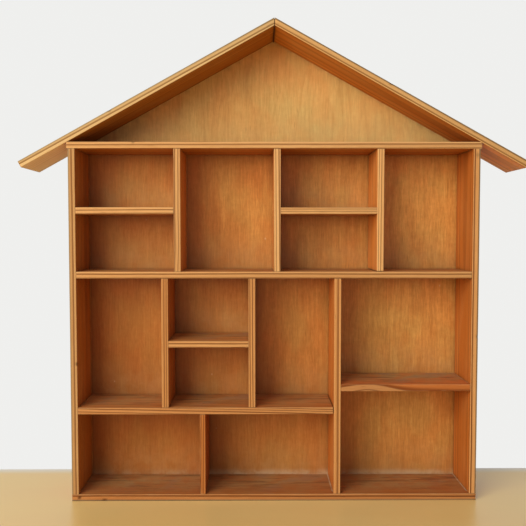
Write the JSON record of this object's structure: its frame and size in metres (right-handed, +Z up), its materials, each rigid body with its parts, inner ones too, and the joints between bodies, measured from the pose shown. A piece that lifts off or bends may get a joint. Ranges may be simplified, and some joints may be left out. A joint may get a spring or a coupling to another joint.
{
  "type": "house shaped bookcase",
  "caption": "Shallow open-fronted display bookcase shaped like a house, with thin varnished pine shelves and dividers under a pitched two-board roof and a plywood back.",
  "frame": {"origin": "on the surface it stands on, under the middle of its width and depth", "axes": "+X to the viewer's right, +Y from the open front to the back, +Z up"},
  "size_m": [0.745, 0.086, 0.7074],
  "materials": {
    "case_pine": "amber satin varnish",
    "red_pine": "amber satin varnish over redder boards",
    "roof_pine": "amber satin varnish",
    "back_plywood": "amber satin varnish, fine vertical grain",
    "bright_steel": "plain wire nail"
  },
  "bodies": {
    "root": {"left_side": "case_pine", "right_side": "case_pine", "bottom_board": "red_pine", "top_board": "case_pine", "back_panel": "back_plywood", "left_roof_board": "roof_pine", "right_roof_board": "roof_pine", "middle_shelf": "case_pine", "lower_shelf": "red_pine", "long_divider": "case_pine", "upper_divider_left": "case_pine", "upper_divider_middle": "case_pine", "upper_divider_right": "case_pine", "upper_shelf_left": "case_pine", "upper_shelf_right": "case_pine", "middle_divider_left": "case_pine", "middle_divider_right": "case_pine", "middle_short_shelf": "case_pine", "right_shelf": "red_pine", "lower_divider": "case_pine", "left_side_nails": "bright_steel", "right_side_nails": "bright_steel", "top_board_nails": "bright_steel", "bottom_board_nails": "bright_steel", "middle_shelf_nails": "bright_steel", "lower_shelf_nails": "bright_steel", "divider_nails": "bright_steel", "roof_nails": "bright_steel", "ridge_nails": "bright_steel", "back_panel_pins": "bright_steel"}
  },
  "joints": []
}
